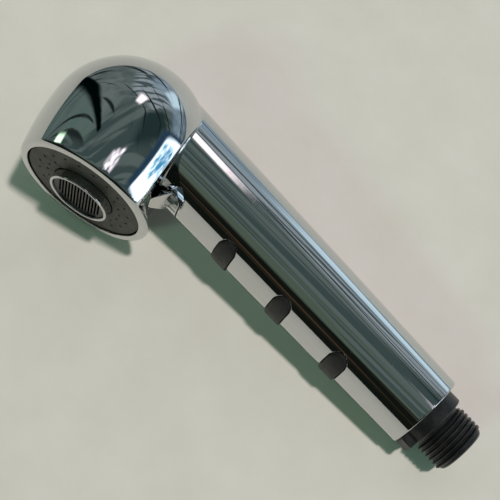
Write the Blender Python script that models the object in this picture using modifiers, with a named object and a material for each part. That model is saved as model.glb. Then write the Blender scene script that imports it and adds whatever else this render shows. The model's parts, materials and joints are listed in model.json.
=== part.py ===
"""Handheld bath sprayer: a chrome pull-out hand spray with an aerated jet, a ring of spray nozzles, a
finger trigger that moves the diverter, and a G1/2 male inlet for its hose.

The pieces are designed standing on the spray face: the head's axis is Z, the face plane is Z = 0, the
spray leaves along -Z, and the handle leaves along +X. The empty "lying_pose" then lays the sprayer on
its side, resting on the head and on the end of the handle. Lengths below are in millimetres.
"""

import math

import bmesh
import bpy
from mathutils import Vector

MM = 0.001

# Head
HEAD_R = 30.1
DOME_Z = 26.7
BELLY_R = 110.0
RIM_FILLET = 1.2
WALL = 2.4
MOUTH_R = 23.7
MOUTH_HIGH = 5.5
MOUTH_FLARE_Z = 9.0
MOUTH_STEP_Z = 4.8
LIP_Z = 6.3
LIP_SLOPE = ((22.6, LIP_Z), (24.9, 5.0), (27.6, 1.6))
REAR_PANEL_X = 21.5

# Handle: a tapered tube whose axis starts on the head's axis and dips towards the spray side
HANDLE_Z = 38.8
HANDLE_DIP = math.radians(14.0)
HANDLE_R0 = 18.1
HANDLE_LENGTH = 148.3
HANDLE_R1 = 15.0
END_BEVEL = 0.5

# Face
PLATE_R = 23.3
PLATE_LOW = 0.7
PLATE_HIGH = 2.3
NOZZLE_R = 0.55
OUTER_RING_R = 18.8
OUTER_NOZZLES = 20
INNER_RING_R = 15.3
INNER_NOZZLES_A_SIDE = 5
NOZZLE_PITCH = 2 * math.pi / OUTER_NOZZLES
AERATOR_R = 12.0
AERATOR_BORE = 10.9
AERATOR_STANDS = 3.0
AERATOR_HIGH = 11.0
GRID_RIB_PITCH = 1.25
GRID_SLOT = 0.75

# Soft grips, cut through the underside of the handle
GRIP_FIRST = 59.5
GRIP_PITCH = 27.4
GRIP_WIDTH = 7.4
GRIP_HALF_SPAN = 10.4
GRIP_PROUD = 0.7

# Trigger and diverter
PIN_X, PIN_Z, PIN_R = 29.0, 20.0, 1.0
TRIGGER_NOSE_X = 20.6
TRIGGER_LOW = 11.0
TRIGGER_TAIL_X = 31.2
TRIGGER_HALF = 7.9
SPOOL_X = 14.0
SPOOL_R = 2.7
SPOOL_FOOT_Z = 17.0
BARREL_R = 5.0
BARREL_LOW = 21.0
SPOOL_BORE = 2.9
COLUMN_R = 8.5

# Waterway and inlet, measured along the handle's axis
TUBE_START, TUBE_END = 19.0, 140.6
TUBE_GROOVES = (22.6, 136.5)
TUBE_R, TUBE_BORE = 6.0, 4.6
SOCKET_R = 6.5
PLUG_START = 129.0
PLUG_R = 12.2
COLLAR_R = 11.8
COLLAR_END = 153.8
THREAD_CREST = 10.478
THREAD_ROOT = 9.316
THREAD_PITCH = 1.814
THREAD_START = 155.2
THREAD_TURNS = 6
INLET_END = THREAD_START + (THREAD_TURNS + 0.4) * THREAD_PITCH
INLET_BORE = 7.3
LUG_REACH = 14.3

GAP = 0.3


# ---------------------------------------------------------------- scene, materials and placing


def clear_scene():
    for obj in list(bpy.data.objects):
        bpy.data.objects.remove(obj, do_unlink=True)


def collection(name):
    made = bpy.data.collections.new(name)
    bpy.context.scene.collection.children.link(made)
    return made


def material(name, color, roughness, metallic=0.0):
    made = bpy.data.materials.new(name)
    made.use_nodes = True
    shader = made.node_tree.nodes["Principled BSDF"]
    shader.inputs["Base Color"].default_value = (*color, 1)
    shader.inputs["Roughness"].default_value = roughness
    shader.inputs["Metallic"].default_value = metallic
    made.diffuse_color = (*color, 1)
    return made


clear_scene()
PARTS = collection("handheld_bath_sprayer")
CUTTERS = collection("cutters")
CHROME = material("chrome_plating", (0.80, 0.81, 0.82), 0.05, 1.0)
BLACK = material("black_plastic", (0.02, 0.02, 0.022), 0.35)
GREY = material("dark_grey_face", (0.055, 0.052, 0.047), 0.5)
RUBBER = material("black_rubber", (0.02, 0.02, 0.02), 0.6)
WHITE = material("white_plastic", (0.75, 0.75, 0.72), 0.45)
STEEL = material("spring_steel", (0.6, 0.6, 0.62), 0.25, 1.0)


def empty(name, location, rotation, parent=None):
    made = bpy.data.objects.new(name, None)
    made.location = [value * MM for value in location]
    made.rotation_euler = rotation
    made.parent = parent
    PARTS.objects.link(made)
    return made


def lean_angle():
    """How far the handle's axis tips down when its end rests on the surface that the head rests on."""
    reach = HANDLE_LENGTH * math.cos(HANDLE_DIP)
    sine = 0.0
    for _ in range(20):
        drop = HANDLE_R1 * math.sqrt(1 - (sine * math.cos(HANDLE_DIP)) ** 2)
        sine = (HEAD_R - drop) / reach
    return math.asin(sine)


LYING = empty("lying_pose", (0, 0, HEAD_R), (-math.pi / 2, lean_angle(), 0))
# Along the handle: local Z runs from the head to the hose, and local X points out of its underside.
HANDLE = empty("handle_axis", (0, 0, HANDLE_Z), (0, math.pi / 2 + HANDLE_DIP, 0), LYING)
SPOOL_AXIS = empty("spool_axis", (SPOOL_X, 0, 0), (0, 0, 0), LYING)
TRIGGER_AXIS = empty("trigger_axis", (PIN_X, 0, PIN_Z), (0, 0, 0), LYING)


def finish(obj, group, parent, look):
    obj.parent = parent
    group.objects.link(obj)
    if look:
        obj.data.materials.append(look)
    if group is CUTTERS:
        obj.hide_render = True
        obj.display_type = "WIRE"
    return obj


# ---------------------------------------------------------------- shapes


def turned(name, outline, look=None, parent=LYING, group=PARTS, steps=32, ring=False):
    """A turned solid. The outline holds (radius, height) points from the top down the outer side."""
    mesh = bpy.data.meshes.new(name)
    points = [(r * MM, 0, z * MM) for r, z in outline]
    edges = [(i, i + 1) for i in range(len(points) - 1)]
    if ring:
        edges.append((len(points) - 1, 0))
    mesh.from_pydata(points, edges, [])
    obj = finish(bpy.data.objects.new(name, mesh), group, parent, look)
    screw = obj.modifiers.new("turn", "SCREW")
    screw.steps = screw.render_steps = steps
    screw.use_merge_vertices = True
    screw.merge_threshold = 1e-6
    screw.use_smooth_shade = True
    return obj


def washer(name, outer, inner, low, high, look, parent=LYING, steps=24):
    corners = [(outer, high), (outer, low), (inner, low), (inner, high)]
    return turned(name, corners, look, parent, steps=steps, ring=True)


def rod(name, radius, low, high, look=None, parent=LYING, group=PARTS, steps=20):
    outline = [(0, high), (radius, high), (radius, low), (0, low)]
    return turned(name, outline, look, parent, group, steps)


def o_ring(name, major, minor, height, parent=LYING, look=RUBBER):
    sides = 6
    turn = [2 * math.pi * k / sides for k in range(sides)]
    outline = [(major + minor * math.sin(a), height + minor * math.cos(a)) for a in turn]
    return turned(name, outline, look, parent, steps=20, ring=True)


def box(name, low, high, look=None, parent=LYING, group=CUTTERS):
    mesh = bpy.data.meshes.new(name)
    form = bmesh.new()
    bmesh.ops.create_cube(form, size=1)
    size = [(b - a) * MM for a, b in zip(low, high)]
    centre = [(a + b) / 2 * MM for a, b in zip(low, high)]
    bmesh.ops.scale(form, vec=size, verts=form.verts)
    bmesh.ops.translate(form, vec=centre, verts=form.verts)
    form.to_mesh(mesh)
    form.free()
    return finish(bpy.data.objects.new(name, mesh), group, parent, look)


def prism(name, outline, low, high, axis="z", look=None, parent=LYING, group=CUTTERS):
    """A flat outline of (x, y) points, or of (x, z) points with axis "y", pushed from low to high."""
    mesh = bpy.data.meshes.new(name)
    form = bmesh.new()
    if axis == "z":
        corners = [form.verts.new((x * MM, y * MM, low * MM)) for x, y in outline]
        push = Vector((0, 0, (high - low) * MM))
    else:
        corners = [form.verts.new((x * MM, low * MM, z * MM)) for x, z in outline]
        push = Vector((0, (high - low) * MM, 0))
    face = form.faces.new(corners)
    made = bmesh.ops.extrude_face_region(form, geom=[face])
    moved = [item for item in made["geom"] if isinstance(item, bmesh.types.BMVert)]
    bmesh.ops.translate(form, vec=push, verts=moved)
    bmesh.ops.recalc_face_normals(form, faces=form.faces)
    form.to_mesh(mesh)
    form.free()
    return finish(bpy.data.objects.new(name, mesh), group, parent, look)


def coil(name, major, wire, low, high, turns, look=STEEL, parent=LYING):
    """A compression spring about local Z, as a closed wire with flat ends."""
    per_turn = 8
    curve = bpy.data.curves.new(name, "CURVE")
    curve.dimensions = "3D"
    curve.bevel_depth = wire * MM
    curve.bevel_resolution = 1
    curve.use_fill_caps = True
    spline = curve.splines.new("POLY")
    count = int(turns * per_turn) + 1
    spline.points.add(count - 1)
    for k, point in enumerate(spline.points):
        angle = 2 * math.pi * k / per_turn
        height = low + wire + (high - low - 2 * wire) * k / (count - 1)
        spot = (major * math.cos(angle) * MM, major * math.sin(angle) * MM, height * MM, 1)
        point.co = spot
    return finish(bpy.data.objects.new(name, curve), PARTS, parent, look)


def cut(obj, cutter, operation="DIFFERENCE"):
    modifier = obj.modifiers.new(f"{operation.lower()}_{cutter.name}", "BOOLEAN")
    modifier.operation = operation
    modifier.object = cutter
    return obj


def join(obj, other):
    return cut(obj, other, "UNION")


def keep(obj, other):
    return cut(obj, other, "INTERSECT")


def arc(centre, radius, start, end, count):
    """Points of an arc from start to end, in degrees, counter-clockwise when end is larger."""
    for k in range(count + 1):
        angle = math.radians(start + (end - start) * k / count)
        yield centre[0] + radius * math.cos(angle), centre[1] + radius * math.sin(angle)


# ---------------------------------------------------------------- body shell


def handle_radius(s):
    return HANDLE_R0 + (HANDLE_R1 - HANDLE_R0) * s / HANDLE_LENGTH


def handle_solid(name, grow=0.0, start=0.0, end=HANDLE_LENGTH, bevel=0.0, steps=44):
    first, last = handle_radius(start) + grow, handle_radius(end) + grow
    outline = [(0, end), (last - bevel, end), (last, end - bevel), (first, start), (0, start)]
    if not bevel:
        del outline[2]
    return turned(name, outline, parent=HANDLE, group=CUTTERS, steps=steps)


def stadium(centre, half_span, width):
    """A long round-ended outline across the handle, in the plane that its underside faces."""
    radius = width / 2
    offset = half_span - radius
    yield from arc((centre, offset), radius, 0, 180, 7)
    yield from arc((centre, -offset), radius, 180, 360, 7)


def grip_window(name, centre, grow):
    """The prism that cuts a grip's window, along the handle's local X, from inside the wall outwards."""
    outline = list(stadium(centre, GRIP_HALF_SPAN + grow, GRIP_WIDTH + 2 * grow))
    mesh = bpy.data.meshes.new(name)
    form = bmesh.new()
    corners = [form.verts.new((3 * MM, y * MM, s * MM)) for s, y in outline]
    face = form.faces.new(corners)
    made = bmesh.ops.extrude_face_region(form, geom=[face])
    moved = [item for item in made["geom"] if isinstance(item, bmesh.types.BMVert)]
    bmesh.ops.translate(form, vec=(22 * MM, 0, 0), verts=moved)
    bmesh.ops.recalc_face_normals(form, faces=form.faces)
    form.to_mesh(mesh)
    form.free()
    return finish(bpy.data.objects.new(name, mesh), CUTTERS, HANDLE, None)


def trigger_outline(grow, nose_grow):
    """The trigger seen along the head's axis: a round nose that widens to a round-cornered tail."""
    nose = TRIGGER_NOSE_X - nose_grow
    half = TRIGGER_HALF + grow
    tail = TRIGGER_TAIL_X + grow
    side = [(nose, 1.6), (nose + 0.5, 3.6), (nose + 1.5, 5.0 + grow), (26.3, half)]
    side += list(arc((tail - 3, half - 3), 3, 90, 0, 4))
    return side + [(x, -y) for x, y in reversed(side)]


def head_radius(z):
    """The head's outside below its dome: a wide arc that draws in towards the face."""
    return HEAD_R - BELLY_R + math.sqrt(BELLY_R**2 - (DOME_Z - z) ** 2)


def body_shell():
    dome = list(arc((0, DOME_Z), HEAD_R, 90, 0, 11))
    belly = [(head_radius(z), z) for z in (21.0, 15.0, 9.0, 4.0)]
    rim_r = head_radius(RIM_FILLET) - RIM_FILLET
    fillet = list(arc((rim_r, RIM_FILLET), RIM_FILLET, 0, -90, 3))
    outline = [(0, DOME_Z + HEAD_R)] + dome[1:] + belly + fillet + [(0, 0)]
    shell = turned("body_shell", outline, CHROME, steps=56)
    rear_cut = box("rear_cut", (REAR_PANEL_X, -40, LIP_SLOPE[-1][1]), (60, 40, 60))
    lip = [(0, LIP_Z), *LIP_SLOPE, (LIP_SLOPE[-1][0], -1.0), (0, -1.0)]
    cut(rear_cut, turned("rear_lip", lip, group=CUTTERS, steps=40))
    cut(shell, rear_cut)
    join(shell, handle_solid("handle_outside", bevel=END_BEVEL))

    inner_r = HEAD_R - WALL
    inner_dome = list(arc((0, DOME_Z), inner_r, 90, 0, 5))
    flare_r = head_radius(MOUTH_FLARE_Z) - WALL
    mouth = [(flare_r, MOUTH_FLARE_Z), (MOUTH_R, MOUTH_HIGH), (MOUTH_R, -1.0), (0, -1.0)]
    outline = [(0, DOME_Z + inner_r)] + inner_dome[1:] + mouth
    hollow = turned("head_hollow", outline, group=CUTTERS, steps=26)
    cut(hollow, box("rear_wall_keep", (REAR_PANEL_X - WALL, -40, MOUTH_STEP_Z), (60, 40, 60)))
    cut(shell, hollow)
    cut(shell, handle_solid("handle_hollow", -WALL, 4, HANDLE_LENGTH + 2, steps=26))
    for k in range(3):
        cut(shell, grip_window(f"grip_window_{k}", GRIP_FIRST + k * GRIP_PITCH, GAP / 2))
    slot = prism("trigger_slot", trigger_outline(0.35, 1.8), 9.6, 24.1)
    cut(shell, slot)
    pin_hole = rod("pin_hole", PIN_R + 0.1, -12.1, 12.1, group=CUTTERS, parent=TRIGGER_AXIS, steps=16)
    pin_hole.rotation_euler = (math.pi / 2, 0, 0)
    cut(shell, pin_hole)
    groove = washer("snap_groove", 13.6, 10.0, 139.7, 141.6, None, HANDLE)
    move_to_cutters(groove)
    return cut(shell, groove)


def move_to_cutters(obj):
    PARTS.objects.unlink(obj)
    CUTTERS.objects.link(obj)
    obj.hide_render = True
    obj.display_type = "WIRE"


# ---------------------------------------------------------------- grips


def grip_pad(name, centre):
    """A rubber pad that fills its window, follows the handle's curve and stands a little proud."""
    pad = grip_window(name, centre, -GAP / 2)
    CUTTERS.objects.unlink(pad)
    PARTS.objects.link(pad)
    pad.hide_render = False
    pad.display_type = "TEXTURED"
    pad.data.materials.append(RUBBER)
    low, high = centre - GRIP_WIDTH, centre + GRIP_WIDTH
    outer = handle_radius(centre) + GRIP_PROUD
    inner = handle_radius(centre) - WALL - 0.8
    sleeve = washer(f"{name}_sleeve", outer, inner, low, high, None, HANDLE, steps=56)
    move_to_cutters(sleeve)
    return keep(pad, sleeve)


# ---------------------------------------------------------------- spray face


def nozzle_angles():
    outer = [(OUTER_RING_R, (k + 0.5) * NOZZLE_PITCH) for k in range(OUTER_NOZZLES)]
    spread = range(-(INNER_NOZZLES_A_SIDE // 2), INNER_NOZZLES_A_SIDE // 2 + 1)
    sides = [side + k * NOZZLE_PITCH for side in (0, math.pi) for k in spread]
    return outer + [(INNER_RING_R, angle) for angle in sides]


def face_plate():
    hole = AERATOR_R + GAP
    plate = washer("face_plate", PLATE_R, hole, PLATE_LOW, PLATE_HIGH, GREY, steps=48)
    mesh = bpy.data.meshes.new("nozzle_drills")
    form = bmesh.new()
    for radius, angle in nozzle_angles():
        made = bmesh.ops.create_cone(
            form, cap_ends=True, segments=6, radius1=NOZZLE_R * MM, radius2=NOZZLE_R * MM, depth=6 * MM
        )
        spot = Vector((radius * math.cos(angle), radius * math.sin(angle), 2)) * MM
        bmesh.ops.translate(form, vec=spot, verts=made["verts"])
    form.to_mesh(mesh)
    form.free()
    return cut(plate, finish(bpy.data.objects.new("nozzle_drills", mesh), CUTTERS, LYING, None))


def spray_chamber():
    """The cup behind the face plate that feeds the nozzles round the aerator."""
    floor, rim, inner = 9.4, PLATE_HIGH + GAP, AERATOR_R + GAP
    outline = [(17.0, 11.2), (18.4, 9.8), (18.4, 4.6), (22.3, 4.6), (22.3, rim), (20.6, rim)]
    outline += [(20.6, 3.7), (17.0, 3.7), (17.0, floor), (14.0, floor), (14.0, rim)]
    outline += [(inner, rim), (inner, 11.2)]
    return turned("spray_chamber", outline, BLACK, steps=24, ring=True)


def aerator_housing():
    low = -AERATOR_STANDS
    outline = [(AERATOR_R, AERATOR_HIGH), (AERATOR_R, low + 0.5), (AERATOR_R - 0.5, low)]
    outline += [(AERATOR_BORE + 0.3, low), (AERATOR_BORE, low + 0.3), (AERATOR_BORE, AERATOR_HIGH)]
    return turned("aerator_housing", outline, CHROME, steps=40, ring=True)


def aerator_grid():
    """The flow straightener: a disc with narrow parallel slots between thin ribs."""
    radius = AERATOR_BORE - 0.15
    grid = rod("aerator_grid", radius, -1.9, 0.9, BLACK, steps=32)
    count = int(2 * (radius - 1.4) / GRID_RIB_PITCH)
    mesh = bpy.data.meshes.new("grid_slots")
    form = bmesh.new()
    for k in range(count):
        x = (k - (count - 1) / 2) * GRID_RIB_PITCH
        reach = math.sqrt((radius - 0.9) ** 2 - (abs(x) + GRID_SLOT / 2) ** 2)
        made = bmesh.ops.create_cube(form, size=1)
        bmesh.ops.scale(form, vec=(GRID_SLOT * MM, 2 * reach * MM, 8 * MM), verts=made["verts"])
        bmesh.ops.translate(form, vec=(x * MM, 0, 0), verts=made["verts"])
    form.to_mesh(mesh)
    form.free()
    return cut(grid, finish(bpy.data.objects.new("grid_slots", mesh), CUTTERS, LYING, None))


def aerator_insert():
    """The jet former behind the grid, with a ring of holes round a solid cone."""
    insert = turned("aerator_insert", [(0, 7.2), (10.7, 7.2), (10.7, 1.2), (0, 3.0)], BLACK, steps=24)
    mesh = bpy.data.meshes.new("jet_holes")
    form = bmesh.new()
    for k in range(8):
        angle = k * math.pi / 4
        made = bmesh.ops.create_cone(
            form, cap_ends=True, segments=8, radius1=1.2 * MM, radius2=1.2 * MM, depth=16 * MM
        )
        spot = Vector((7.2 * math.cos(angle), 7.2 * math.sin(angle), 4)) * MM
        bmesh.ops.translate(form, vec=spot, verts=made["verts"])
    form.to_mesh(mesh)
    form.free()
    return cut(insert, finish(bpy.data.objects.new("jet_holes", mesh), CUTTERS, LYING, None))


# ---------------------------------------------------------------- trigger and diverter


def trigger():
    """The finger lever in the corner between head and handle, with an arm that lifts the spool."""
    lever = prism("trigger", trigger_outline(0, 0), 9, 22.4, look=CHROME, group=PARTS)
    low = TRIGGER_LOW
    wedge_side = [(20.4, low + 0.4), (20.9, low), (21.3, low), (27.5, 16.4), (33, 19)]
    wedge_side += [(33, 22.4), (26.5, 22.4), (20.4, 18.3)]
    corner = prism("trigger_side", wedge_side, -12, 12, axis="y")
    flush = handle_solid("trigger_skin", start=8, end=60)
    cut(flush, prism("skin_limit", [(23.5, -30), (10, -30), (10, 30), (23.5, 30)], -10, 70))
    cut(flush, box("skin_top", (0, -30, 22.4), (80, 30, 70)))
    join(corner, flush)
    keep(lever, corner)
    join(lever, box("trigger_arm", (SPOOL_X - 1.2, -2.6, 14.6), (23, 2.6, SPOOL_FOOT_Z - GAP)))
    bore = rod("trigger_bore", PIN_R + 0.1, -12, 12, group=CUTTERS, parent=TRIGGER_AXIS, steps=16)
    bore.rotation_euler = (math.pi / 2, 0, 0)
    return cut(lever, bore)


def trigger_pin():
    pin = rod("trigger_pin", PIN_R, -11.8, 11.8, STEEL, TRIGGER_AXIS, steps=16)
    pin.rotation_euler = (math.pi / 2, 0, 0)
    return pin


def diverter_body():
    """The manifold: a column to the aerator, a leg to the spray chamber, a valve barrel and a socket."""
    body = rod("diverter_body", COLUMN_R, 12.0, HANDLE_Z, BLACK, steps=24)
    leg = rod("spray_leg", 3.2, 11.6, 36, group=CUTTERS)
    leg.location.x = -10.5 * MM
    join(body, leg)
    join(body, rod("barrel", BARREL_R, BARREL_LOW, 34, group=CUTTERS, parent=SPOOL_AXIS))
    join(body, rod("socket", 8.6, -6, 27, group=CUTTERS, parent=HANDLE))
    cut(body, rod("socket_bore", SOCKET_R, TUBE_START - GAP, 30, group=CUTTERS, parent=HANDLE))
    cut(body, rod("socket_way", 4.4, -1.3, 20, group=CUTTERS, parent=HANDLE))
    cut(body, rod("jet_way", 4.3, 0, 36.5, group=CUTTERS))
    leg_bore = rod("leg_bore", 2.0, 0, 33.7, group=CUTTERS, steps=16)
    leg_bore.location.x = -10.5 * MM
    cut(body, leg_bore)
    cross = rod("cross_way", 2.0, -10.5, 0, group=CUTTERS, steps=16)
    cross.rotation_euler = (0, math.pi / 2, 0)
    cross.location.z = 32 * MM
    cut(body, cross)
    cut(body, rod("spool_bore", SPOOL_BORE, 10, 30.4, group=CUTTERS, parent=SPOOL_AXIS))
    return cut(body, rod("spring_seat", 1.9, 20, 33.3, group=CUTTERS, parent=SPOOL_AXIS))


def diverter_spool():
    outline = [(0, 29.6), (1.4, 29.6), (1.4, 26.0), (SPOOL_R, 26.0)]
    for groove in (24.6, 22.6):
        outline += [(SPOOL_R, groove + 0.5), (2.1, groove + 0.5), (2.1, groove - 0.5), (SPOOL_R, groove - 0.5)]
    outline += [(SPOOL_R, 21.5), (1.8, 21.5), (1.8, SPOOL_FOOT_Z), (0, SPOOL_FOOT_Z)]
    return turned("diverter_spool", outline, WHITE, SPOOL_AXIS, steps=16)


# ---------------------------------------------------------------- waterway and inlet


def waterway_tube():
    outline = [(TUBE_R, TUBE_END)]
    for groove in reversed(TUBE_GROOVES):
        outline += [(TUBE_R, groove + 0.8), (5.3, groove + 0.8), (5.3, groove - 0.8), (TUBE_R, groove - 0.8)]
    outline += [(TUBE_R, TUBE_START), (TUBE_BORE, TUBE_START), (TUBE_BORE, TUBE_END)]
    return turned("waterway_tube", outline, BLACK, HANDLE, steps=20, ring=True)


def thread_outline():
    """Crests and roots from the hose end back to the collar, as a run of equal grooves."""
    for turn in reversed(range(THREAD_TURNS)):
        middle = THREAD_START + (turn + 0.5) * THREAD_PITCH
        yield THREAD_ROOT, middle + 0.42 * THREAD_PITCH
        yield THREAD_CREST, middle + 0.10 * THREAD_PITCH
        yield THREAD_CREST, middle - 0.10 * THREAD_PITCH
        yield THREAD_ROOT, middle - 0.42 * THREAD_PITCH


def inlet_connector():
    outline = [(THREAD_ROOT - 0.5, INLET_END), (THREAD_ROOT, INLET_END - 0.5)]
    outline += list(thread_outline())
    outline += [(9.1, THREAD_START), (9.1, COLLAR_END), (COLLAR_R - 0.3, COLLAR_END)]
    outline += [(COLLAR_R, COLLAR_END - 0.3), (COLLAR_R, HANDLE_LENGTH - 1)]
    outline += [(PLUG_R, HANDLE_LENGTH - 1.4), (PLUG_R, 141.4), (11.0, 141.4), (11.0, 139.9)]
    outline += [(PLUG_R, 139.9), (PLUG_R, PLUG_START), (SOCKET_R, PLUG_START), (SOCKET_R, 141)]
    outline += [(TUBE_BORE, 141), (TUBE_BORE, 144.5), (INLET_BORE, 144.5), (INLET_BORE, INLET_END)]
    connector = turned("inlet_connector", outline, BLACK, HANDLE, steps=32, ring=True)
    low = (COLLAR_R - 1.2, -3.4, HANDLE_LENGTH + GAP)
    return join(connector, box("locating_lug", low, (LUG_REACH, 3.4, COLLAR_END - 0.4), parent=HANDLE))


def snap_ring():
    """An open retaining ring that holds the inlet connector in the end of the handle."""
    ring = washer("snap_ring", 13.3, 11.2, 140.05, 141.25, STEEL, HANDLE)
    return cut(ring, box("snap_opening", (8, -2.5, 135), (16, 2.5, 145), parent=HANDLE))


def check_valve_body():
    outline = [(7.1, 156.0), (7.1, 145.0), (5.6, 145.0), (5.6, 154.6), (3.2, 154.6), (3.2, 156.0)]
    valve = turned("check_valve_body", outline, WHITE, HANDLE, steps=20, ring=True)
    for k in range(2):
        arm = box(f"guide_arm_{k}", (-6.2, -0.8, 145.4), (6.2, 0.8, 146.8), parent=HANDLE)
        arm.rotation_euler = (0, 0, k * math.pi / 2)
        join(valve, arm)
    join(valve, rod("guide_boss", 2.4, 145.4, 146.8, group=CUTTERS, parent=HANDLE))
    return cut(valve, rod("guide_hole", 1.35, 140, 150, group=CUTTERS, parent=HANDLE, steps=16))


def check_valve_poppet():
    outline = [(0, 153.4), (3.4, 153.4), (4.6, 152.8), (4.6, 152.0), (1.2, 151.6), (1.2, 145.2), (0, 145.2)]
    return turned("check_valve_poppet", outline, BLACK, HANDLE, steps=20)


def inlet_filter():
    """A flat strainer pressed into the inlet bore, behind the hose washer."""
    strainer = rod("inlet_filter", INLET_BORE - 0.15, 158.0, 159.0, STEEL, HANDLE)
    mesh = bpy.data.meshes.new("strainer_holes")
    form = bmesh.new()
    for radius, count in ((0, 1), (2.6, 6), (5.2, 12)):
        for k in range(count):
            angle = 2 * math.pi * k / count
            made = bmesh.ops.create_cone(
                form, cap_ends=True, segments=6, radius1=0.9 * MM, radius2=0.9 * MM, depth=6 * MM
            )
            spot = Vector((radius * math.cos(angle), radius * math.sin(angle), 158.5)) * MM
            bmesh.ops.translate(form, vec=spot, verts=made["verts"])
    form.to_mesh(mesh)
    form.free()
    return cut(strainer, finish(bpy.data.objects.new("strainer_holes", mesh), CUTTERS, HANDLE, None))


# ---------------------------------------------------------------- the assembly


def rest_on_origin():
    """Moves the whole sprayer so that the middle of its bounding box's base is the origin."""
    bpy.context.view_layer.update()
    graph = bpy.context.evaluated_depsgraph_get()
    corners = []
    for obj in PARTS.objects:
        if obj.type == "EMPTY":
            continue
        evaluated = obj.evaluated_get(graph)
        mesh = evaluated.to_mesh()
        corners += [evaluated.matrix_world @ vertex.co for vertex in mesh.vertices]
        evaluated.to_mesh_clear()
    for axis in (0, 1):
        values = [corner[axis] for corner in corners]
        LYING.location[axis] -= (min(values) + max(values)) / 2
    LYING.location.z -= min(corner.z for corner in corners)
    bpy.context.view_layer.update()


body_shell()
face_plate()
spray_chamber()
o_ring("chamber_seal", 23.0, 0.5, 3.7)
aerator_housing()
aerator_grid()
aerator_insert()
washer("aerator_washer", 10.7, 7.0, 7.6, 9.6, RUBBER)
trigger()
trigger_pin()
diverter_body()
diverter_spool()
o_ring("spool_seal_upper", 2.48, 0.3, 24.6, SPOOL_AXIS)
o_ring("spool_seal_lower", 2.48, 0.3, 22.6, SPOOL_AXIS)
coil("spool_spring", 2.2, 0.28, 26.1, 30.3, 3.5, parent=SPOOL_AXIS)
washer("spool_retainer", 4.8, 2.1, 19.4, 20.7, WHITE, SPOOL_AXIS)
waterway_tube()
o_ring("tube_seal_head", 5.9, 0.45, TUBE_GROOVES[0], HANDLE)
o_ring("tube_seal_inlet", 5.9, 0.45, TUBE_GROOVES[1], HANDLE)
inlet_connector()
snap_ring()
check_valve_body()
check_valve_poppet()
o_ring("check_valve_seal", 3.9, 0.4, 153.85, HANDLE)
coil("check_valve_spring", 2.0, 0.25, 147.0, 151.5, 5, parent=HANDLE)
inlet_filter()
for place, label in enumerate(("front", "middle", "rear")):
    grip_pad(f"grip_pad_{label}", GRIP_FIRST + place * GRIP_PITCH)
rest_on_origin()
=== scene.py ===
"""Looks of the handheld bath sprayer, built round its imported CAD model.

Shapes are worked out in the sprayer's own frame, in millimetres: the head's axis is Z, the face plane is
Z = 0, the spray leaves along -Z and the handle leaves along +X. The frame's joints and mounts give where
that frame lies in the model. A plated or soft piece is a smooth surface described by a distance field:
its CAD node gives the coarse surface, which is refined near the edges and moved onto the field.
"""

import json
import math

import bmesh
import bpy
import numpy as np
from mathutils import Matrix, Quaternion, Vector

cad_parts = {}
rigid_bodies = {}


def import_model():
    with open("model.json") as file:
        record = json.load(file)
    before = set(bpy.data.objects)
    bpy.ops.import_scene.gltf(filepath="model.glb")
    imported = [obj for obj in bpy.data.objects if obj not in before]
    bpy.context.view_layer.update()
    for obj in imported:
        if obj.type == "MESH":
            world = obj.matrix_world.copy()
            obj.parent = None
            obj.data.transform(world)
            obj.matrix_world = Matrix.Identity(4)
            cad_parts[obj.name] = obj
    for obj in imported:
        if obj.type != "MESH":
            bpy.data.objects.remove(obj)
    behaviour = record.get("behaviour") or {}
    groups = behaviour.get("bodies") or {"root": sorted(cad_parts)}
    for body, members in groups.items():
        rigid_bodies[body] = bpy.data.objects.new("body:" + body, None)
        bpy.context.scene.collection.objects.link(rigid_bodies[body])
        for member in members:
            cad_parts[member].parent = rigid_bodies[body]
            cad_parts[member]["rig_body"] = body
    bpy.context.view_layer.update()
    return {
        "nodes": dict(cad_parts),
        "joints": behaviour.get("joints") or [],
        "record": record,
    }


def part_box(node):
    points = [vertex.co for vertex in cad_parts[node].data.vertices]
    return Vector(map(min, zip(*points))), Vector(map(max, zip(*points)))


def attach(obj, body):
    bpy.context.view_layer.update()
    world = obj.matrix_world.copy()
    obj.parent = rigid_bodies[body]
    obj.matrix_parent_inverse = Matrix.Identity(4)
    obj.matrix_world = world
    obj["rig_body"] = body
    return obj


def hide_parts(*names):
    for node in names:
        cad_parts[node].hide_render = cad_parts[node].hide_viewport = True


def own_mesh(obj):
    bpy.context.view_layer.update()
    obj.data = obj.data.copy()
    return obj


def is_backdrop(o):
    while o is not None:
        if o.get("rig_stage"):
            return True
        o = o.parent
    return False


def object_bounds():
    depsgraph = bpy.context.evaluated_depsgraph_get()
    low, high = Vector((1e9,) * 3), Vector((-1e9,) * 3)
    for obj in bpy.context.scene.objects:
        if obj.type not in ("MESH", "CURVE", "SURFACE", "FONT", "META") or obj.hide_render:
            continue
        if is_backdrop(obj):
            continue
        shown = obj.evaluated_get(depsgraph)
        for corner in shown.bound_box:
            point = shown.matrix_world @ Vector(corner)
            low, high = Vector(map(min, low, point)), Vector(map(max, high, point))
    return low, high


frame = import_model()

MM = 0.001

# Head and handle, as in the CAD model
DOME_Z = 26.7
BELLY_R = 110.0
RIM_FILLET = 1.2
WALL = 2.4
MOUTH_R, MOUTH_HIGH, MOUTH_FLARE_Z = 23.7, 5.5, 9.0
MOUTH_STEP_Z = 4.8
LIP_Z = 6.3
LIP_SLOPE = [(27.6, -5.0), (27.6, 1.6), (24.9, 5.0), (22.6, LIP_Z)]
REAR_PANEL_X = 21.5
HANDLE_Z = 38.8
HANDLE_R0 = 18.1
HANDLE_R1 = 15.0
HANDLE_LENGTH = 148.3

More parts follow.
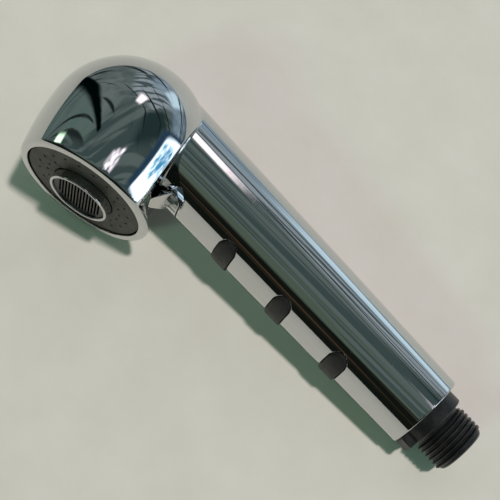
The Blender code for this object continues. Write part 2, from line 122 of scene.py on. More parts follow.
# Face, aerator, grips, trigger and inlet
PLATE_R, PLATE_LOW, PLATE_HIGH = 23.3, 0.7, 2.3
NOZZLE_R = 0.55
NOZZLE_CUTS = ((-2, 4, NOZZLE_R, NOZZLE_R), (0.2, 1.2, NOZZLE_R + 0.5, 0.1))
OUTER_RING_R, INNER_RING_R = 18.8, 15.3
OUTER_NOZZLES, INNER_NOZZLES_A_SIDE = 20, 5
AERATOR_R, AERATOR_BORE = 12.0, 10.9
AERATOR_LOW, AERATOR_HIGH = -3.0, 11.0
GRID_LOW, GRID_HIGH = -1.9, 0.9
GRID_RIB_PITCH, GRID_SLOT, GRID_GAP, GRID_RIM = 1.25, 0.75, 0.15, 0.9
GRIP_FIRST, GRIP_PITCH = 59.5, 27.4
GRIP_WIDTH, GRIP_HALF_SPAN, GRIP_PROUD = 7.4, 10.4, 0.7
PIN_X, PIN_Z, PIN_R = 29.0, 20.0, 1.0
TRIGGER_NOSE_X, TRIGGER_TAIL_X, TRIGGER_HALF = 20.6, 31.2, 7.9
THREAD_CREST, THREAD_ROOT, THREAD_PITCH = 10.478, 9.316, 1.814
THREAD_START, THREAD_TURNS = 155.2, 6
INLET_END = THREAD_START + (THREAD_TURNS + 0.4) * THREAD_PITCH
COLLAR_END, COLLAR_R, PLUG_R, INLET_BORE = 153.8, 11.8, 12.2, 7.3
LUG_REACH, LUG_HALF = 14.3, 3.4
THREAD_FOOT, THREAD_FLANK, THREAD_ROW = 0.44, 0.30, 0.13
THREAD_LEAD_IN, THREAD_LEAD_OUT = 0.8, 0.9
GAP = 0.3

# Cuts in the shell: the trigger's slot and pin hole, and the groove of the snap ring
SLOT_MIDDLE_Z, SLOT_HALF_Z = 16.85, 7.25
SLOT_SIDE_GAP, SLOT_NOSE_GAP = 0.35, 1.8
PIN_HOLE_HALF, PIN_PLAY = 12.1, 0.1
GROOVE_R, GROOVE_MIDDLE, GROOVE_HALF = 13.6, 140.65, 0.95

# Trigger: the wedge seen from the side, and the arm that lifts the spool
TRIGGER_WEDGE = [(20.4, 11.4), (20.9, 11.0), (21.3, 11.0), (34.4, 22.4), (26.5, 22.4), (20.4, 18.3)]
TRIGGER_SKIN_X, TRIGGER_SKIN_Z = 23.5, 22.4
ARM_MIDDLE, ARM_HALF = (17.9, 0.0, 15.65), (5.1, 2.6, 1.05)

# Inlet: the plug in the handle's end, its ring groove, and the bores
PLUG_START, PLUG_NECK_R, PLUG_GROOVE = 129.0, 11.0, (139.9, 141.4)
SOCKET_R, SOCKET_END, TUBE_BORE, BORE_START = 6.5, 141.0, 4.6, 144.5
RELIEF_R = 9.1

# How round the edges are
PANEL_EDGE = 0.35
JOIN_EDGE = 0.45
END_EDGE = 0.45
SMALL_EDGE = 0.22
PAD_EDGE = 0.55


# ---------------------------------------------------------------- the sprayer's frame in the model

JOINTS = {joint["name"]: joint for joint in frame["joints"]}
MOUNTS = {mount["name"]: mount for mount in frame["record"]["mounts"]}
ACROSS = np.array(JOINTS["trigger_hinge"]["axis"])
HEAD_AXIS = np.array(JOINTS["spool_slide"]["axis"])
TURN = np.column_stack([np.cross(ACROSS, HEAD_AXIS), ACROSS, HEAD_AXIS])
ORIGIN = np.array(JOINTS["trigger_hinge"]["pos_m"]) - TURN @ np.array([PIN_X, 0, PIN_Z]) * MM
HANDLE_DIRECTION = TURN.T @ np.array(MOUNTS["hose_washer_face"]["axis"])
UNDERSIDE = np.cross([0, 1, 0], HANDLE_DIRECTION)
HANDLE_START = np.array([0, 0, HANDLE_Z])
HEAD_R = (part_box("body_shell")[1].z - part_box("body_shell")[0].z) / 2 / MM


def to_model(points):
    return ORIGIN + points @ TURN.T * MM


def from_model(points):
    return (points - ORIGIN) @ TURN / MM


def from_handle(points):
    """(towards the underside, across, along) beside the handle's axis, in the sprayer's frame."""
    return HANDLE_START + points @ np.array([UNDERSIDE, [0, 1, 0], HANDLE_DIRECTION])


def beside_handle(points):
    away = points - HANDLE_START
    return away @ UNDERSIDE, points[:, 1], away @ HANDLE_DIRECTION


# ---------------------------------------------------------------- distance fields


def meet(a, b, edge=0.0):
    """Where both are, with the edge between them rounded."""
    outside = np.hypot(np.maximum(a + edge, 0), np.maximum(b + edge, 0))
    return np.minimum(np.maximum(a, b), -edge) + outside


def join(a, b, edge=0.0):
    """Where either is, with the corner between them filled round."""
    return -meet(-a, -b, edge)


def carve(a, b, edge=0.0):
    return meet(a, -b, edge)


def prism_field(outline, u, v):
    """The inside of a convex outline whose points run counter-clockwise."""
    field = np.full(len(u), -np.inf)
    for (u0, v0), (u1, v1) in zip(outline, outline[1:] + outline[:1]):
        length = math.hypot(u1 - u0, v1 - v0)
        field = np.maximum(field, ((u - u0) * (v1 - v0) - (v - v0) * (u1 - u0)) / length)
    return field


def arc(centre, radius, start, end, count):
    for k in range(count + 1):
        angle = math.radians(start + (end - start) * k / count)
        yield centre[0] + radius * math.cos(angle), centre[1] + radius * math.sin(angle)


def handle_radius(along):
    return HANDLE_R0 + (HANDLE_R1 - HANDLE_R0) * along / HANDLE_LENGTH


def cone_field(points, grow=0.0):
    """The handle's tapered side, without its ends."""
    under, across, along = beside_handle(points)
    slope = math.atan((HANDLE_R0 - HANDLE_R1) / HANDLE_LENGTH)
    return (np.hypot(under, across) - handle_radius(along) - grow) * math.cos(slope)


def round_side(r, z):
    """The head's dome, and below it the wide arc that draws in towards the face."""
    belly = np.hypot(r - HEAD_R + BELLY_R, z - DOME_Z) - BELLY_R
    return np.where(z > DOME_Z, np.hypot(r, z - DOME_Z) - HEAD_R, belly)


def head_field(points):
    x, y, z = points.T
    r = np.hypot(x, y)
    head = meet(round_side(r, z), -z, RIM_FILLET)
    lip = prism_field([(-1.0, LIP_Z), (-1.0, -5.0), *LIP_SLOPE], r, z)
    return meet(head, join(x - REAR_PANEL_X, lip, PANEL_EDGE), PANEL_EDGE)


def hollow_field(points):
    x, y, z = points.T
    r = np.hypot(x, y)
    wide = round_side(r, z) + WALL
    flare_r = HEAD_R - WALL - (DOME_Z - MOUTH_FLARE_Z) ** 2 / (2 * BELLY_R)
    rise = math.hypot(flare_r - MOUTH_R, MOUTH_FLARE_Z - MOUTH_HIGH)
    slant = (r - flare_r) * (MOUTH_FLARE_Z - MOUTH_HIGH) - (z - MOUTH_FLARE_Z) * (flare_r - MOUTH_R)
    hollow = join(meet(wide, slant / rise), meet(r - MOUTH_R, z - MOUTH_FLARE_Z))
    hollow = meet(hollow, join(x - REAR_PANEL_X + WALL, z - MOUTH_STEP_Z))
    along = beside_handle(points)[2]
    return join(hollow, meet(cone_field(points, -WALL), 4 - along))


def stadium_field(points, centre, grow):
    """The round-ended window or pad across the handle's underside."""
    under, across, along = beside_handle(points)
    radius = GRIP_WIDTH / 2 + grow
    straight = np.maximum(np.abs(across) - (GRIP_HALF_SPAN - GRIP_WIDTH / 2), 0)
    return meet(np.hypot(along - centre, straight) - radius, 3 - under)


def trigger_outline(grow, nose_grow):
    nose = TRIGGER_NOSE_X - nose_grow
    half = TRIGGER_HALF + grow
    tail = TRIGGER_TAIL_X + grow
    side = [(nose, 1.6), (nose + 0.5, 3.6), (nose + 1.5, 5.0 + grow), (26.3, half)]
    side += list(arc((tail - 3, half - 3), 3, 90, 0, 8))
    return [(x, -y) for x, y in side] + side[::-1]


def grip_centres():
    return [GRIP_FIRST + k * GRIP_PITCH for k in range(3)]


def pin_field(points):
    x, _, z = points.T
    return np.hypot(x - PIN_X, z - PIN_Z) - PIN_R - PIN_PLAY


def shell_field(points):
    x, y, z = points.T
    under, across, along = beside_handle(points)
    rho = np.hypot(under, across)
    handle = meet(cone_field(points), along - HANDLE_LENGTH, END_EDGE)
    outer = join(head_field(points), meet(handle, -along), JOIN_EDGE)
    shell = carve(outer, hollow_field(points), PANEL_EDGE)
    for centre in grip_centres():
        shell = carve(shell, stadium_field(points, centre, GAP / 2), SMALL_EDGE)
    side = prism_field(trigger_outline(SLOT_SIDE_GAP, SLOT_NOSE_GAP), x, y)
    shell = carve(shell, meet(side, np.abs(z - SLOT_MIDDLE_Z) - SLOT_HALF_Z), SMALL_EDGE)
    shell = carve(shell, meet(rho - GROOVE_R, np.abs(along - GROOVE_MIDDLE) - GROOVE_HALF))
    return carve(shell, meet(pin_field(points), np.abs(y) - PIN_HOLE_HALF))


def pad_field(centre):
    def field(points):
        under, across, _ = beside_handle(points)
        rho = np.hypot(under, across)
        top = handle_radius(centre) + GRIP_PROUD
        sleeve = np.maximum(rho - top, handle_radius(centre) - WALL - 0.8 - rho)
        return meet(stadium_field(points, centre, -GAP / 2), sleeve, PAD_EDGE)

    return field


def trigger_field(points):
    x, y, z = points.T
    skin = meet(cone_field(points), TRIGGER_SKIN_X - x)
    skin = meet(skin, z - TRIGGER_SKIN_Z)
    wedge = prism_field(TRIGGER_WEDGE, x, z)
    lever = meet(join(wedge, skin), prism_field(trigger_outline(0, 0), x, y), SMALL_EDGE)
    arm = (np.abs(points - np.array(ARM_MIDDLE)) - np.array(ARM_HALF)).max(axis=1)
    return carve(join(lever, arm), pin_field(points))


# ---------------------------------------------------------------- meshes from fields


def slope_of(field, points, reach=0.02):
    """The field's gradient, by differences."""
    slope = np.empty_like(points)
    for axis in range(3):
        step = np.zeros(3)
        step[axis] = reach
        slope[:, axis] = (field(points + step) - field(points - step)) / (2 * reach)
    return slope


def normals_of(field, points):
    slope = slope_of(field, points)
    return slope / np.maximum(np.linalg.norm(slope, axis=1, keepdims=True), 1e-9)


def settle(field, points, rounds=4, most=0.4):
    """Moves points onto the field's surface."""
    for _ in range(rounds):
        slope = slope_of(field, points)
        size = np.maximum((slope**2).sum(axis=1), 0.2)
        move = (field(points) / size)[:, None] * slope
        length = np.linalg.norm(move, axis=1, keepdims=True)
        points = points - move * np.minimum(1, most / np.maximum(length, 1e-9))
    return points


def corner_places(form):
    return from_model(np.array([vertex.co for vertex in form.verts]))


def place(form, points):
    for vertex, spot in zip(form.verts, to_model(points)):
        vertex.co = spot


def coarse(node, voxel):
    """The node's own surface as even faces a voxel across."""
    source = frame["nodes"][node].data.copy()
    form = bmesh.new()
    form.from_mesh(source)
    bmesh.ops.remove_doubles(form, verts=form.verts, dist=1e-7)
    form.to_mesh(source)
    form.free()
    obj = bpy.data.objects.new("coarse", source)
    bpy.context.scene.collection.objects.link(obj)
    remesh = obj.modifiers.new("even", "REMESH")
    remesh.mode = "VOXEL"
    remesh.voxel_size = voxel * MM
    graph = bpy.context.evaluated_depsgraph_get()
    mesh = bpy.data.meshes.new_from_object(obj.evaluated_get(graph))
    bpy.data.objects.remove(obj)
    return mesh


def refined(name, node, field, voxel, levels, bend=16.0, shortest=0.2):
    """A smooth piece in place of a CAD node: even faces, made finer wherever the surface turns."""
    form = bmesh.new()
    form.from_mesh(coarse(node, voxel))
    bmesh.ops.triangulate(form, faces=form.faces)
    points = settle(field, corner_places(form))
    for _ in range(levels):
        form.verts.index_update()
        normals = normals_of(field, points)
        ends = np.array([[v.index for v in edge.verts] for edge in form.edges])
        turn = (normals[ends[:, 0]] * normals[ends[:, 1]]).sum(axis=1)
        length = np.linalg.norm(points[ends[:, 0]] - points[ends[:, 1]], axis=1)
        split = (turn < math.cos(math.radians(bend))) & (length > shortest)
        chosen = [edge for edge, yes in zip(form.edges, split) if yes]
        if not chosen:
            break
        place(form, points)
        bmesh.ops.subdivide_edges(form, edges=chosen, cuts=1)
        bmesh.ops.triangulate(form, faces=[face for face in form.faces if len(face.verts) > 3])
        points = settle(field, corner_places(form), rounds=3)
    place(form, points)
    mesh = bpy.data.meshes.new(name)
    form.to_mesh(mesh)
    form.free()
    mesh.shade_smooth()
    normals = normals_of(field, points)
    mesh.normals_split_custom_set_from_vertices((normals @ TURN.T).tolist())
    obj = bpy.data.objects.new(name, mesh)
    bpy.context.scene.collection.objects.link(obj)
    return obj


# ---------------------------------------------------------------- turned meshes


def softened(outline, edge, steps=4):
    """A closed outline with each corner rounded by about this much."""
    made = []
    for k, corner in enumerate(outline):
        corner = np.array(corner, float)
        before = np.array(outline[k - 1], float) - corner
        after = np.array(outline[(k + 1) % len(outline)], float) - corner
        reach = min(edge, 0.45 * np.linalg.norm(before), 0.45 * np.linalg.norm(after))
        first = corner + before / np.linalg.norm(before) * reach
        last = corner + after / np.linalg.norm(after) * reach
        for t in np.linspace(0, 1, steps + 1):
            made.append((1 - t) ** 2 * first + 2 * t * (1 - t) * corner + t * t * last)
    return made


def new_object(name, form, sharp=35.0):
    mesh = bpy.data.meshes.new(name)
    bmesh.ops.recalc_face_normals(form, faces=form.faces)
    form.to_mesh(mesh)
    form.free()
    mesh.shade_smooth()
    mesh.set_sharp_from_angle(angle=math.radians(sharp))
    obj = bpy.data.objects.new(name, mesh)
    bpy.context.scene.collection.objects.link(obj)
    return obj


def turned(name, outline, steps=96, on_handle=False, radius=None):
    """A ring turned from a closed (radius, height) outline. radius may change each point's radius."""
    form = bmesh.new()
    angles = np.arange(steps) * 2 * math.pi / steps
    rows = []
    for r, height in outline:
        reach = np.full(steps, r) if radius is None else radius(r, height, angles)
        points = np.column_stack([reach * np.cos(angles), reach * np.sin(angles), np.full(steps, height)])
        points = from_handle(points) if on_handle else points
        rows.append([form.verts.new(spot) for spot in to_model(points)])
    for row, after in zip(rows, rows[1:] + rows[:1]):
        for k in range(steps):
            form.faces.new((row[k], row[(k + 1) % steps], after[(k + 1) % steps], after[k]))
    return new_object(name, form)


def drilled(obj, forms, edge=0.0):
    """Cuts closed shapes, given in one bmesh in the sprayer's frame, out of the piece."""
    mesh = bpy.data.meshes.new("cutter")
    for vertex in forms.verts:
        vertex.co = to_model(np.array(vertex.co))
    bmesh.ops.recalc_face_normals(forms, faces=forms.faces)
    forms.to_mesh(mesh)
    forms.free()
    cutter = bpy.data.objects.new("cutter", mesh)
    bpy.context.scene.collection.objects.link(cutter)
    boolean = obj.modifiers.new("cut", "BOOLEAN")
    boolean.operation = "DIFFERENCE"
    boolean.object = cutter
    if edge:
        bevel = obj.modifiers.new("edge", "BEVEL")
        bevel.width = edge * MM
        bevel.segments = 2
        bevel.limit_method = "ANGLE"
    return applied(obj, cutter)


def applied(obj, *helpers):
    graph = bpy.context.evaluated_depsgraph_get()
    mesh = bpy.data.meshes.new_from_object(obj.evaluated_get(graph))
    obj.modifiers.clear()
    obj.data = mesh
    mesh.shade_smooth()
    mesh.set_sharp_from_angle(angle=math.radians(35))
    for helper in helpers:
        bpy.data.objects.remove(helper)
    return obj


# ---------------------------------------------------------------- materials


class Nodes:
    """A node tree, with the few kinds of node that the looks and the studio share."""

    def __init__(self, tree):
        self.tree = tree

    def fill(self, socket, value):
        if isinstance(value, bpy.types.NodeSocket):
            self.tree.links.new(value, socket)
        else:
            socket.default_value = value

    def add(self, kind, **inputs):
        node = self.tree.nodes.new(kind)
        for name, value in inputs.items():
            self.fill(node.inputs[name.replace("_", " ")], value)
        return node

    def math(self, operation, *values):
        node = self.add("ShaderNodeMath")
        node.operation = operation
        for socket, value in zip(node.inputs, values):
            self.fill(socket, value)
        return node.outputs[0]

    def ramp(self, value, low, high, start=0.0, end=1.0, curve="LINEAR"):
        ends = {"From_Min": low, "From_Max": high, "To_Min": start, "To_Max": end}
        node = self.add("ShaderNodeMapRange", Value=value, **ends)
        node.interpolation_type = curve
        return node.outputs["Result"]

    def blend(self, amount, first, second):
        node = self.add("ShaderNodeMix")
        node.data_type = "RGBA"
        for name, value in (("Factor", amount), ("A", first), ("B", second)):
            self.fill(node.inputs[name], (*value, 1) if isinstance(value, tuple) else value)
        return node.outputs["Result"]


class Look(Nodes):
    """A Principled material built up from a few procedural layers."""

    def __init__(self, name, color, roughness, metallic=0.0):
        self.material = bpy.data.materials.new(name)
        self.material.use_nodes = True
        super().__init__(self.material.node_tree)
        self.shader = self.tree.nodes["Principled BSDF"]
        self.shader.inputs["Base Color"].default_value = (*color, 1)
        self.shader.inputs["Roughness"].default_value = roughness
        self.shader.inputs["Metallic"].default_value = metallic
        self.place = self.add("ShaderNodeTexCoord").outputs["Object"]

    def noise(self, size, detail=3.0, rough=0.5, stretch=None):
        """Noise whose features are about size millimetres across."""
        place = self.place
        if stretch:
            place = self.add("ShaderNodeMapping", Vector=place, Scale=stretch).outputs["Vector"]
        node = self.add("ShaderNodeTexNoise", Vector=place, Scale=1 / (size * MM), Detail=detail)
        node.inputs["Roughness"].default_value = rough
        return node.outputs["Fac"]

    def drive(self, name, value):
        self.tree.links.new(value, self.shader.inputs[name])

    def bump(self, height, depth, strength=1.0):
        """depth is how far, in millimetres, a height of 1 stands out."""
        node = self.add("ShaderNodeBump", Height=height, Strength=strength, Distance=depth * MM)
        self.drive("Normal", node.outputs["Normal"])


def chrome_look():
    look = Look("chrome_plating", (0.62, 0.63, 0.64), 0.04, 1.0)
    haze = look.ramp(look.noise(9.0, 4.0, 0.6), 0.42, 0.72, 0.03, 0.08)
    lines = look.noise(1.2, 2.0, 0.5, (1.0, 0.04, 0.3))
    scratch = look.ramp(lines, 0.68, 0.74, 0.0, 0.06)
    look.drive("Roughness", look.math("ADD", haze, scratch))
    look.bump(look.noise(6.0, 2.0), 0.012)
    return look.material


def moulded_look(name, color, worn, roughness):
    look = Look(name, color, roughness)
    look.drive("Base Color", look.blend(look.ramp(look.noise(5.0, 5.0, 0.65), 0.45, 0.75), color, worn))
    look.drive("Roughness", look.ramp(look.noise(2.5, 4.0), 0.3, 0.7, roughness - 0.07, roughness + 0.1))
    look.bump(look.noise(0.35, 3.0), 0.02)
    return look.material


CHROME = chrome_look()
FACE = moulded_look("grey_face", (0.040, 0.036, 0.031), (0.060, 0.054, 0.046), 0.52)
BLACK = moulded_look("black_plastic", (0.010, 0.010, 0.011), (0.030, 0.029, 0.028), 0.36)
RUBBER = moulded_look("soft_rubber", (0.012, 0.012, 0.012), (0.020, 0.020, 0.020), 0.50)
SEAL = moulded_look("seal_rubber", (0.014, 0.014, 0.015), (0.025, 0.025, 0.025), 0.60)
WHITE = moulded_look("white_plastic", (0.72, 0.72, 0.69), (0.62, 0.61, 0.56), 0.42)


def steel_look():
    look = Look("steel", (0.60, 0.60, 0.62), 0.25, 1.0)
    look.drive("Roughness", look.ramp(look.noise(1.5, 4.0), 0.3, 0.7, 0.18, 0.36))
    look.bump(look.noise(0.4, 2.0), 0.01)
    return look.material


STEEL = steel_look()
LOOKS = {
    "chrome_plating": CHROME, "grey_face": FACE, "black_plastic": BLACK, "soft_rubber": RUBBER,
    "seal_rubber": SEAL, "white_plastic": WHITE, "steel": STEEL,
}


def dress(obj, node, slot):
    """The piece stands for the node, rides where it rides and takes the slot's material."""
    body = frame["nodes"][node]["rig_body"]
    obj.data.materials.clear()
    obj.data.materials.append(LOOKS[slot])
    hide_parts(node)
    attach(obj, body)
    return obj


# ---------------------------------------------------------------- the pieces


def body_shell():
    dress(refined("shell_plated", "body_shell", shell_field, 0.9, 3), "body_shell", "chrome_plating")


def trigger():
    dress(refined("trigger_plated", "trigger", trigger_field, 0.4, 2), "trigger", "chrome_plating")


def grips():
    for centre, place_name in zip(grip_centres(), ("front", "middle", "rear")):
        node = f"grip_pad_{place_name}"
        pad = refined(f"grip_rubber_{place_name}", node, pad_field(centre), 0.4, 2)
        dress(pad, node, "soft_rubber")


def nozzle_spots():
    pitch = 2 * math.pi / OUTER_NOZZLES
    spots = [(OUTER_RING_R, (k + 0.5) * pitch) for k in range(OUTER_NOZZLES)]
    reach = INNER_NOZZLES_A_SIDE // 2
    spots += [(INNER_RING_R, side + k * pitch) for side in (0, math.pi) for k in range(-reach, reach + 1)]
    return [(r * math.cos(a), r * math.sin(a)) for r, a in spots]


def face_plate():
    hole = AERATOR_R + GAP
    outline = [(PLATE_R, PLATE_HIGH), (PLATE_R, PLATE_LOW), (hole, PLATE_LOW), (hole, PLATE_HIGH)]
    plate = turned("spray_face", softened(outline, 0.3), 128)
    forms = bmesh.new()
    for x, y in nozzle_spots():
        for low, high, wide, narrow in NOZZLE_CUTS:
            made = bmesh.ops.create_cone(
                forms, cap_ends=True, segments=16, radius1=wide, radius2=narrow, depth=high - low
            )
            bmesh.ops.translate(forms, vec=Vector((x, y, (low + high) / 2)), verts=made["verts"])
    dress(drilled(plate, forms), "face_plate", "grey_face")


def aerator_housing():
    low = AERATOR_LOW
    outline = [(AERATOR_R, AERATOR_HIGH), (AERATOR_R, low), (AERATOR_BORE, low), (AERATOR_BORE, AERATOR_HIGH)]
    dress(turned("aerator_ring", softened(outline, 0.5, 6), 160), "aerator_housing", "chrome_plating")


def aerator_grid():
    radius = AERATOR_BORE - GRID_GAP
    outline = [(radius, GRID_HIGH), (radius, GRID_LOW), (0.01, GRID_LOW), (0.01, GRID_HIGH)]
    grid = turned("flow_straightener", outline, 96)
    count = int(2 * (radius - GRID_RIM - 0.5) / GRID_RIB_PITCH)
    forms = bmesh.new()
    for k in range(count):
        x = (k - (count - 1) / 2) * GRID_RIB_PITCH
        reach = math.sqrt((radius - GRID_RIM) ** 2 - (abs(x) + GRID_SLOT / 2) ** 2)
        made = bmesh.ops.create_cube(forms, size=1)
        bmesh.ops.scale(forms, vec=(GRID_SLOT, 2 * reach, 8), verts=made["verts"])
        bmesh.ops.translate(forms, vec=(x, 0, 0), verts=made["verts"])
    dress(drilled(grid, forms, 0.06), "aerator_grid", "black_plastic")


def thread_radius(r, along, angles):
    """A one-start screw thread on the rows between its ends, and the plain radius elsewhere."""
    last = THREAD_START + THREAD_TURNS * THREAD_PITCH
    if r != THREAD_ROOT or not THREAD_START <= along <= last:
        return np.full(len(angles), r)
    turn = (along - THREAD_START) / THREAD_PITCH - angles / (2 * math.pi)
    away = np.abs(turn % 1 - 0.5)
    rise = np.clip((THREAD_FOOT - away) / THREAD_FLANK, 0, 1)
    rise = rise * rise * (3 - 2 * rise)
    lead = min(1, (along - THREAD_START) / THREAD_LEAD_IN, (last - along) / THREAD_LEAD_OUT)
    return r + (THREAD_CREST - THREAD_ROOT) * rise * max(lead, 0)


def inlet_outline():
    """The inlet's closed outline: thread and collar, plug with its ring groove, and the bore."""
    end, face = INLET_END, HANDLE_LENGTH
    reach = THREAD_TURNS * THREAD_PITCH
    rows = int(reach / THREAD_ROW)
    groove_low, groove_high = PLUG_GROOVE
    made = [(THREAD_ROOT - 0.5, end), (THREAD_ROOT, end - 0.5)]
    made += [(THREAD_ROOT, THREAD_START + reach * (1 - k / rows)) for k in range(rows + 1)]
    made += [(RELIEF_R, THREAD_START - 0.2), (RELIEF_R, COLLAR_END + 0.15), (RELIEF_R + 0.2, COLLAR_END)]
    made += [(COLLAR_R - 0.35, COLLAR_END), (COLLAR_R, COLLAR_END - 0.35), (COLLAR_R, face - 1)]
    made += [(PLUG_R, face - 1.4), (PLUG_R, groove_high), (PLUG_NECK_R, groove_high)]
    made += [(PLUG_NECK_R, groove_low), (PLUG_R, groove_low), (PLUG_R, PLUG_START)]
    made += [(SOCKET_R, PLUG_START), (SOCKET_R, SOCKET_END), (TUBE_BORE, SOCKET_END)]
    made += [(TUBE_BORE, BORE_START), (INLET_BORE, BORE_START)]
    return made + [(INLET_BORE, end - 0.4), (INLET_BORE + 0.4, end)]


def inlet_lug():
    """The collar's locating lug, a rounded block at the handle's underside."""
    form = bmesh.new()
    bmesh.ops.create_cube(form, size=1)
    low = np.array((COLLAR_R - 1.2, -LUG_HALF, HANDLE_LENGTH + GAP))
    high = np.array((LUG_REACH, LUG_HALF, COLLAR_END - 0.4))
    bmesh.ops.scale(form, vec=high - low, verts=form.verts)
    bmesh.ops.bevel(form, geom=form.edges[:], offset=0.35, segments=3, affect="EDGES")
    for vertex in form.verts:
        vertex.co = to_model(from_handle(np.array(vertex.co) + (low + high) / 2))
    return new_object("lug", form)


def inlet_connector():
    connector = turned("hose_inlet", inlet_outline(), 128, True, thread_radius)
    lug = inlet_lug()
    union = connector.modifiers.new("lug", "BOOLEAN")
    union.operation = "UNION"
    union.object = lug
    dress(applied(connector, lug), "inlet_connector", "black_plastic")


def spring(name, node):
    """The node's coil, as a steel copy of its mesh."""
    mesh = frame["nodes"][node].data.copy()
    obj = bpy.data.objects.new(name, mesh)
    bpy.context.scene.collection.objects.link(obj)
    dress(obj, node, "steel")
    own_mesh(obj)


def inner_pieces():
    """The CAD nodes that stay take the same materials, by their slots in the record."""
    for entry in frame["record"]["subparts"]:
        obj = frame["nodes"][entry["node"]]
        obj.data.materials.clear()
        obj.data.materials.append(LOOKS[entry["material_slot"]])


# ---------------------------------------------------------------- floor, light and camera


FLOOR_HALF = 5.0
STUDIO_BASE = (0.050, 0.075, 0.074)
STUDIO_STRENGTH = 1.25
BACKDROP = (0.42, 0.42, 0.38)


def floor():
    form = bmesh.new()
    bmesh.ops.create_grid(form, x_segments=1, y_segments=1, size=FLOOR_HALF)
    table = new_object("floor", form)
    look = Look("pale_table", (0.55, 0.54, 0.49), 0.45)
    mottle = look.ramp(look.noise(28.0, 4.0, 0.6), 0.3, 0.75)
    look.drive("Base Color", look.blend(mottle, (0.66, 0.64, 0.575), (0.71, 0.695, 0.64)))
    table.data.materials.append(look.material)
    table.location.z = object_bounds()[0].z
    table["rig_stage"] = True


def lamp(name, direction, breadth, strength, color):
    """A distant soft light from this direction, breadth degrees across."""
    data = bpy.data.lights.new(name, "SUN")
    data.angle = math.radians(breadth)
    data.energy = strength
    data.color = color
    made = bpy.data.objects.new(name, data)
    made.rotation_mode = "QUATERNION"
    made.rotation_quaternion = (-Vector(direction)).to_track_quat("-Z", "Y")
    made.visible_glossy = False
    bpy.context.scene.collection.objects.link(made)


class Studio(Nodes):
    """A dim studio round the sprayer, as colours by direction: soft panels over a grey-green base."""

    def __init__(self):
        world = bpy.data.worlds.new("studio")
        bpy.context.scene.world = world
        world.use_nodes = True
        super().__init__(world.node_tree)
        self.way = self.add("ShaderNodeTexCoord").outputs["Generated"]
        self.x, self.y, self.rise = self.add("ShaderNodeSeparateXYZ", Vector=self.way).outputs
        self.height = self.degrees(self.math("ARCSINE", self.rise))
        self.color = STUDIO_BASE

    def degrees(self, angle):
        return self.math("MULTIPLY", angle, 180 / math.pi)

    def inside(self, away, half, soft):
        return self.ramp(away, half - soft, half + soft, 1, 0, "SMOOTHSTEP")

    def mottle(self, size, low, high):
        noise = self.add("ShaderNodeTexNoise", Vector=self.way, Scale=1 / size, Detail=2.0)
        return self.ramp(noise.outputs["Fac"], 0.35, 0.65, low, high)

    def bands(self, wide, long, lean, low, high):
        """Stripes along the handle's direction, this wide in degrees and this long in cosines."""
        up = self.degrees(self.math("ARCTAN2", self.rise, self.y))
        up = self.math("ADD", self.math("MULTIPLY", up, 1 / wide), self.math("MULTIPLY", self.x, lean))
        spot = self.add("ShaderNodeCombineXYZ", X=up, Y=self.math("MULTIPLY", self.x, 1 / long))
        noise = self.add("ShaderNodeTexNoise", Vector=spot.outputs[0], Scale=1.0, Detail=1.0)
        return self.ramp(noise.outputs["Fac"], low, high)

    def along(self, cosine, sine):
        """The share of the direction along this level one."""
        return self.math("ADD", self.math("MULTIPLY", self.x, cosine), self.math("MULTIPLY", self.y, sine))

    def panel(self, side, height, half_side, half_height, soft, color, cover=1.0):
        """A panel centred on this azimuth and elevation, all in degrees. cover may be a pattern."""
        cosine, sine = math.cos(math.radians(side)), math.sin(math.radians(side))
        turn = self.math("ARCTAN2", self.along(-sine, cosine), self.along(cosine, sine))
        away = self.degrees(self.math("ABSOLUTE", turn))
        rise = self.math("ABSOLUTE", self.math("SUBTRACT", self.height, height))
        mask = self.math("MULTIPLY", self.inside(away, half_side, soft), self.inside(rise, half_height, soft))
        self.color = self.blend(self.math("MULTIPLY", mask, cover), self.color, color)

    def finish(self):
        """Behind the table the studio is plain; the panels show only as light and in reflections."""
        seen = self.add("ShaderNodeLightPath").outputs["Is Camera Ray"]
        background = self.tree.nodes["Background"]
        self.fill(background.inputs["Color"], self.blend(seen, self.color, BACKDROP))
        background.inputs["Strength"].default_value = STUDIO_STRENGTH


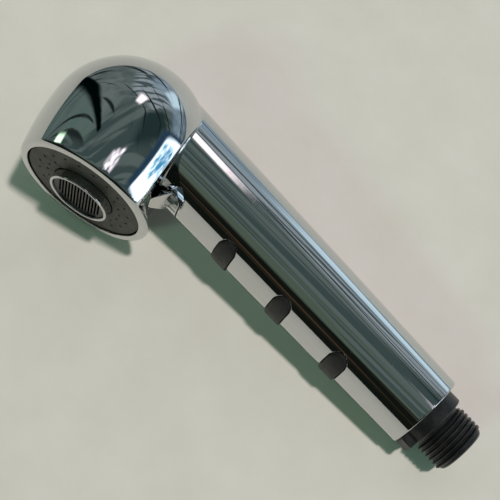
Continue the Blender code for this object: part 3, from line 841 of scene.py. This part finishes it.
def studio():
    made = Studio()
    patchy = made.mottle(0.22, 0.35, 1.0)
    streaks = made.mottle(0.09, 0.0, 1.0)
    made.panel(0, 60, 180, 36, 8, (0.105, 0.140, 0.130), made.bands(9.0, 0.7, 5.0, 0.49, 0.54))
    made.panel(-95, 10, 75, 34, 8, (0.006, 0.008, 0.006))
    made.panel(-100, 56, 40, 16, 5, (0.085, 0.115, 0.085), made.bands(6.0, 0.4, 6.0, 0.49, 0.53))
    made.panel(-95, 30, 30, 12, 4, (0.055, 0.035, 0.020), made.bands(3.0, 0.4, -4.0, 0.56, 0.60))
    made.panel(115, 28, 62, 34, 8, (0.15, 0.18, 0.175), patchy)
    made.panel(85, 25, 26, 26, 6, (0.30, 0.35, 0.38))
    made.panel(85, 30, 30, 30, 6, (0.075, 0.10, 0.105), made.bands(7.0, 0.35, 7.0, 0.52, 0.55))
    made.panel(168, 30, 11, 34, 4, (0.10, 0.15, 0.13), patchy)
    made.panel(60, 12, 38, 11, 5, (0.24, 0.33, 0.40), patchy)
    made.panel(71, 11, 9, 8, 3, (0.62, 0.80, 0.90))
    made.panel(38, 47, 17, 14, 6, (0.018, 0.035, 0.036))
    made.panel(100, 40, 80, 40, 6, (0.012, 0.018, 0.018), made.bands(5.0, 1.2, -5.0, 0.60, 0.63))
    made.panel(155, 30, 3.5, 42, 1.5, (0.0, 0.002, 0.002))
    made.panel(14, 16, 16, 18, 3, (0.02, 0.05, 0.09))
    made.panel(12, 12, 13, 13, 2, (1.9, 2.2, 2.4))
    made.panel(15, 12, 8, 12, 2, (0.07, 0.36, 0.62), streaks)
    made.panel(2, 68, 14, 6, 3, (2.2, 2.0, 2.15), streaks)
    made.panel(88, 54, 7, 7, 3, (1.7, 1.5, 1.55))
    made.panel(179, 30, 3, 5, 2, (1.6, 2.4, 1.6))
    made.finish()


def light():
    studio()
    lamp("key", (0.24, 0.04, 0.96), 4.5, 2.12, (1.0, 0.90, 0.90))
    lamp("fill", (-0.20, -0.80, 0.62), 11.0, 0.46, (0.45, 1.0, 0.68))
    bpy.context.scene.view_settings.view_transform = "Standard"


LENS = 79.16
VIEW_AZIMUTH = math.radians(17.4765)
VIEW_ELEVATION = math.radians(66.3665)
VIEW_ROLL = math.radians(15.2182)
VIEW_DISTANCE = 0.42205
AIM = Vector((-0.00932, 0.00518, 0))


def camera():
    """Looks down on the sprayer from its spray side, turned so that the handle runs to the lower right."""
    flat = math.cos(VIEW_ELEVATION)
    ahead = Vector(
        (-math.sin(VIEW_AZIMUTH) * flat, math.cos(VIEW_AZIMUTH) * flat, -math.sin(VIEW_ELEVATION))
    )
    data = bpy.data.cameras.new("camera")
    data.sensor_width = 36
    data.lens = LENS
    obj = bpy.data.objects.new("camera", data)
    obj.location = AIM - ahead * VIEW_DISTANCE
    level = ahead.to_track_quat("-Z", "Y")
    obj.rotation_mode = "QUATERNION"
    obj.rotation_quaternion = level @ Quaternion((0, 0, 1), VIEW_ROLL)
    bpy.context.scene.collection.objects.link(obj)
    bpy.context.scene.camera = obj


floor()
body_shell()
trigger()
grips()
face_plate()
aerator_housing()
aerator_grid()
inlet_connector()
spring("spool_return_coil", "spool_spring")
spring("poppet_coil", "check_valve_spring")
inner_pieces()
light()
camera()
